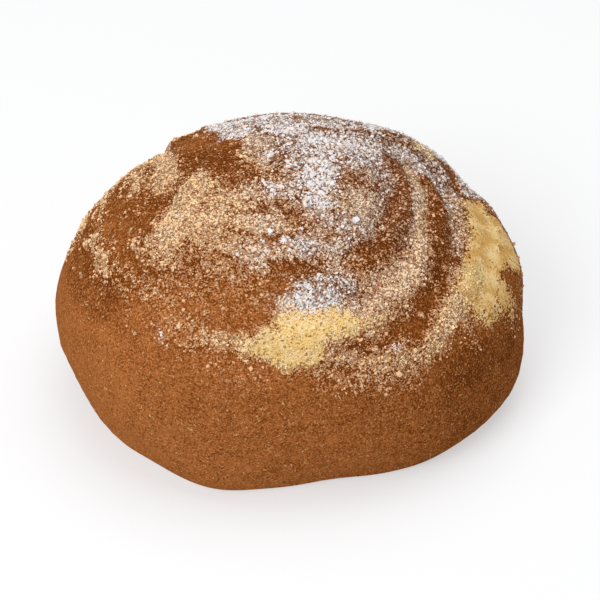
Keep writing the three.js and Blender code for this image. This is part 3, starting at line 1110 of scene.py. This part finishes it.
class BunLook(bpy.types.PropertyGroup):
    """Sizes and colours of the bun's finish"""

    spacing: length("Crust detail", "Distance between the crust's points on the top", 0.523)
    flank_spacing: length("Flank detail", "Distance between the crust's points low on the flank", 0.9)
    ridge_height: length("Ridge height", "Height of the spiral above and below the dome", 0.7)
    fold_softness: length("Fold softness", "Half the width of the fold's edge", 1.4)
    wrinkle: length("Wrinkles", "Depth of the crust's fine wrinkles", 0.14)
    dent: length("Dents", "Depth of the crust's broad dents", 0.35)
    dust: length("Caked sugar", "Thickness of the caked sugar", 0.55)
    grit: length("Grit", "Depth of the finest roughness", 0.35)
    crust: hue("Crust", "Browned crust", (0.44, 0.154, 0.043))
    # The darkest crust brown, also used as painted shade next to the sugar and on the right; scorched deepens
    # it where the baking value is high
    crust_dark_and_shade: hue("Dark crust", "Crust where it baked longest", (0.16, 0.040, 0.005))
    speck: hue("Specks", "Pale specks in the crust", (0.60, 0.28, 0.12))
    scorched: hue("Scorched crust", "Darkest spots of the crust's top", (0.085, 0.021, 0.003))
    white: hue("White sugar", "Fresh sugar", (0.80, 0.765, 0.765))
    # Painted shade: the shaded copy of the fresh sugar's colour
    white_shade: hue("White sugar's shade", "Thin and damp fresh sugar", (0.50, 0.39, 0.34))
    cream: hue("Cream sugar", "Lightly toasted sugar", (0.90, 0.64, 0.36))
    blush: hue("Pink cream", "Lightly toasted sugar where it is thin", (0.90, 0.625, 0.415))
    sparse: hue("Sparse sugar", "Stained sugar, where there is little of it", (0.76, 0.42, 0.23))
    stained: hue("Stained crust", "Crust with a trace of sugar", (0.60, 0.26, 0.105))
    dusky: hue("Dusky crust", "Crust with a trace of fresh sugar", (0.43, 0.275, 0.195))
    ashen: hue("Sparse fresh sugar", "Fresh sugar where there is little of it", (0.63, 0.46, 0.345))
    # The darkest toasted grains, and also painted shade on the cream sugar's grains and in the gold crumb's
    # pits
    toast_and_shade: hue("Toast", "Darkest grains in the sugar", (0.26, 0.10, 0.022))
    # Painted shadow in the small pits between sugar grains
    pit_shadow: hue("Pits", "Pits in the sugar", (0.08, 0.032, 0.008))
    frost: hue("Pale cream", "Toasted sugar with fresh sugar over it", (0.90, 0.78, 0.60))
    rose: hue("Pinkish white", "Clumps of fresh sugar that are a little toasted", (0.84, 0.68, 0.56))
    gold: hue("Gold crumb", "Toasted sweet crumb", (0.86, 0.575, 0.215))
    gold_pale: hue("Pale gold crumb", "Toasted sweet crumb with sugar in it", (0.88, 0.655, 0.335))
    # Darker crumb, and also painted shade on the gold crumb's grains
    gold_shade: hue("Gold crumb's shade", "Crumb that baked longest", (0.58, 0.33, 0.070))
    dough: hue("Dough", "Dough that baked least", (0.62, 0.355, 0.11))
    dough_pale: hue("Pale dough", "Dough that baked least, with sugar in it", (0.80, 0.575, 0.265))
    white_density: amount("White grains", "Number to a square millimetre where they lie thickest", 0.9)
    cream_density: amount("Cream grains", "Number to a square millimetre where they lie thickest", 1.1)
    gold_density: amount("Gold crumbs", "Number to a square millimetre where they lie thickest", 1.2)
    clump_density: amount("Clumps", "Number to a square millimetre where they lie thickest", 0.32)
    grain_size: length("Grain size", "Width of a typical sugar grain", 0.45)
    crumb_size: length("Crumb size", "Width of a typical gold crumb", 0.4)
    clump_size: length("Clump size", "Width of a typical clump of sugar", 1.2)
    seed: IntProperty(name="Seed", description="Start of the random draws", default=11)


class BUN_OT_crust(bpy.types.Operator):
    """Builds the browned crust over the bun's solid"""

    bl_idname = "bun.crust"
    bl_label = "Crust"

    def execute(self, context):
        look = context.scene.bun_look
        turn, rise, triangles, foot = crust_grid(look.spacing / MM, look.flank_spacing / MM)
        ridge = look.ridge_height / MM
        lumps = solid_lumps(*crust_points(turn, rise, ridge, SOLID_FOLD_SOFTNESS))
        points, normals = crust_points(turn, rise, ridge, look.fold_softness / MM)
        field = Field(CRUST_SEED)
        lump_height, lump_share = lump_relief(points, lumps, field)
        layers = coverage(points)
        toasted = np.maximum(layers["white"], layers["gold"]) < LUMPS_TOASTED_TO
        for name in ("cream", "sugar"):
            covered = np.maximum(layers[name], LUMP_COVER * lump_share)
            layers[name] = np.where(toasted, covered, layers[name])
        cover = layers["sugar"] - GOLD_THINNER * layers["gold"]

        free = smooth(points[:, 2], *RELIEF_FROM)
        dents = look.dent / MM * field.layers(points, DENT_SIZE, 2)
        finer = FINE_WRINKLE_SHARE * field(points, FINE_WRINKLE_SIZE)
        wrinkles = look.wrinkle / MM * (field.layers(points + WRINKLE_SHIFT, WRINKLE_SIZE, 2) + finer)
        height, layers["crease"], layers["cobble"] = caked(points, cover, layers["clumped"], field)
        layers["clumped"] = layers["clumped"] * smooth(layers["white"], *CLUMPS_FROM)
        # The baking value, with painted shade to the right in it
        layers["bake_and_shade"] = browning_and_shade(points, field)
        raised = dents + wrinkles + lump_height + look.dust / MM * height
        points = points + normals * (raised * free)[:, None]

        flat, under = underside(points, foot)
        piece = new_piece(CRUST, np.concatenate([points, flat]), np.concatenate([triangles, under]), True)
        for name, values in layers.items():
            below = UNDERSIDE_BAKE if name == "bake_and_shade" else 0
            store(piece, name, np.concatenate([values, np.full(len(flat), below)]))
        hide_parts(NODE)
        finish, sockets = crust_finish(look)
        finish.dress(piece, **sockets)
        return {"FINISHED"}


def topping(look, name, layer, seed, density, grain, colours, dusted_colours=None):
    """Scatters one kind of grain where the crust's layer of it lies, and gives it its finish.

    The colours are its light and its dark one. Where fresh sugar dusts the top, it has the dusted ones.
    """
    random = np.random.default_rng(look.seed + seed)
    piece = grains(name, bpy.data.objects[CRUST], layer, density, grain, random)
    finish = Finish(name)
    fine = finish.noise(FINE, 2, 0.7)
    shade = (finish.stored("tint") - 0.4 + fine * 1.2).between(0.0, 1.0)
    dusted = finish.stored("dusted")
    pairs = zip(colours, dusted_colours or colours)
    light, dark = (finish.mix(plain, dusty, dusted) for plain, dusty in pairs)
    colour = finish.mix(light, dark, shade)
    colour = finish.mix(look.sparse, colour, finish.stored("sugar").between(0.1, 0.55))
    relief = finish.bump(fine, GRAIN_RELIEF)
    finish.dress(piece, Base_Color=colour, Roughness=GRAIN_ROUGHNESS, Normal=relief)


class BUN_OT_sugar_clumps(bpy.types.Operator):
    """Scatters the rounded clumps of white sugar round the middle of the top"""

    bl_idname = "bun.sugar_clumps"
    bl_label = "Sugar clumps"

    def execute(self, context):
        look = context.scene.bun_look
        topping(
            look,
            name="sugar_clumps",
            layer="clumped",
            seed=3,
            density=look.clump_density,
            grain=Grain(look.clump_size / MM, spread=0.3, lift=(-0.42, -0.1), chips=0.1, shape=ball()),
            colours=(look.white, look.rose),
        )
        return {"FINISHED"}


class BUN_OT_white_sugar(bpy.types.Operator):
    """Scatters the white sugar grains"""

    bl_idname = "bun.white_sugar"
    bl_label = "White sugar"

    def execute(self, context):
        look = context.scene.bun_look
        topping(
            look,
            name="sugar_white",
            layer="white",
            seed=0,
            density=look.white_density,
            grain=Grain(look.grain_size / MM, spread=0.34, lift=(-0.25, 0.2)),
            colours=(look.white, look.rose),
        )
        return {"FINISHED"}


class BUN_OT_toasted_sugar(bpy.types.Operator):
    """Scatters the toasted sugar grains"""

    bl_idname = "bun.toasted_sugar"
    bl_label = "Toasted sugar"

    def execute(self, context):
        look = context.scene.bun_look
        topping(
            look,
            name="sugar_toasted",
            layer="cream",
            seed=1,
            density=look.cream_density,
            grain=Grain(look.grain_size / MM, spread=0.3, lift=(-0.25, 0.2)),
            colours=(look.cream, look.toast_and_shade),
            dusted_colours=(look.rose, look.dusky),
        )
        return {"FINISHED"}


class BUN_OT_gold_crumb(bpy.types.Operator):
    """Scatters the fine gold crumbs"""

    bl_idname = "bun.gold_crumb"
    bl_label = "Gold crumb"

    def execute(self, context):
        look = context.scene.bun_look
        topping(
            look,
            name="crumb_gold",
            layer="gold",
            seed=2,
            density=look.gold_density,
            grain=Grain(look.crumb_size / MM, spread=0.3, lift=(-0.25, 0.1)),
            colours=(look.gold_pale, look.gold_shade),
        )
        return {"FINISHED"}


class BUN_OT_stage(bpy.types.Operator):
    """Sets up the floor, the lights and the camera"""

    bl_idname = "bun.stage"
    bl_label = "Stage"

    def execute(self, context):
        scene = context.scene
        scene.view_settings.view_transform = "Standard"
        self.camera(scene)
        self.floor(scene)
        self.lights(scene)
        return {"FINISHED"}

    def camera(self, scene):
        """Looks from the front and above, with the point above the origin at its pixel of the frame."""
        data = bpy.data.cameras.new("camera")
        data.sensor_width = SENSOR
        data.lens = PIXELS_PER_MM * CAMERA_DISTANCE * SENSOR / FRAME_PIXELS
        tilt = math.radians(CAMERA_ELEVATION)
        away = Vector((0, -math.cos(tilt), math.sin(tilt)))
        up = Vector((0, math.sin(tilt), math.cos(tilt)))
        aim = Vector((0, 0, AIM_HEIGHT))
        right_by, up_by = ((FRAME_PIXELS / 2 - pixel) / PIXELS_PER_MM for pixel in AIM_PIXEL)
        centre = aim + Vector((1, 0, 0)) * right_by - up * up_by
        camera = bpy.data.objects.new("camera", data)
        camera.location = (aim + away * CAMERA_DISTANCE) * MM
        camera.rotation_euler = (centre * MM - camera.location).to_track_quat("-Z", "Y").to_euler()
        data.clip_start = 0.01
        scene.collection.objects.link(camera)
        scene.camera = camera

    def floor(self, scene):
        mesh = bpy.data.meshes.new("floor")
        corners = [(x * FLOOR_REACH, y * FLOOR_REACH, 0) for x, y in ((-1, -1), (1, -1), (1, 1), (-1, 1))]
        mesh.from_pydata(corners, [], [(0, 1, 2, 3)])
        floor = bpy.data.objects.new("floor", mesh)
        scene.collection.objects.link(floor)
        glow = {"Emission_Color": LIGHT_COLOUR, "Emission_Strength": FLOOR_GLOW}
        Finish("pale_floor").dress(floor, Base_Color=FLOOR_COLOUR, Roughness=FLOOR_ROUGHNESS, **glow)

    def lights(self, scene):
        world = bpy.data.worlds.new("studio")
        world.use_nodes = True
        background = world.node_tree.nodes["Background"]
        background.inputs["Color"].default_value = (*LIGHT_COLOUR, 1.0)
        background.inputs["Strength"].default_value = LIGHT_ALL_ROUND
        scene.world = world
        for name, place, size, power in LAMPS:
            data = bpy.data.lights.new(name, "AREA")
            data.size = size
            data.energy = power
            light = bpy.data.objects.new(name, data)
            light.location = place
            light.rotation_euler = (-Vector(place)).to_track_quat("-Z", "Y").to_euler()
            scene.collection.objects.link(light)


class BUN_PT_build(bpy.types.Panel):
    """Lists the bun's pieces and its look"""

    bl_label = "Bun"
    bl_space_type = "VIEW_3D"
    bl_region_type = "UI"
    bl_category = "Bun"

    def draw(self, context):
        for piece in PIECES:
            self.layout.operator(piece.bl_idname)
        for name in BunLook.__annotations__:
            self.layout.prop(context.scene.bun_look, name)


PIECES = (
    BUN_OT_crust,
    BUN_OT_sugar_clumps,
    BUN_OT_white_sugar,
    BUN_OT_toasted_sugar,
    BUN_OT_gold_crumb,
    BUN_OT_stage,
)
CLASSES = (BunLook, *PIECES, BUN_PT_build)


def register():
    for kind in CLASSES:
        bpy.utils.register_class(kind)
    bpy.types.Scene.bun_look = PointerProperty(type=BunLook)


def unregister():
    del bpy.types.Scene.bun_look
    for kind in reversed(CLASSES):
        bpy.utils.unregister_class(kind)


def main():
    register()
    bpy.ops.bun.crust()
    bpy.ops.bun.sugar_clumps()
    bpy.ops.bun.white_sugar()
    bpy.ops.bun.toasted_sugar()
    bpy.ops.bun.gold_crumb()
    bpy.ops.bun.stage()


if __name__ == "__main__":
    main()
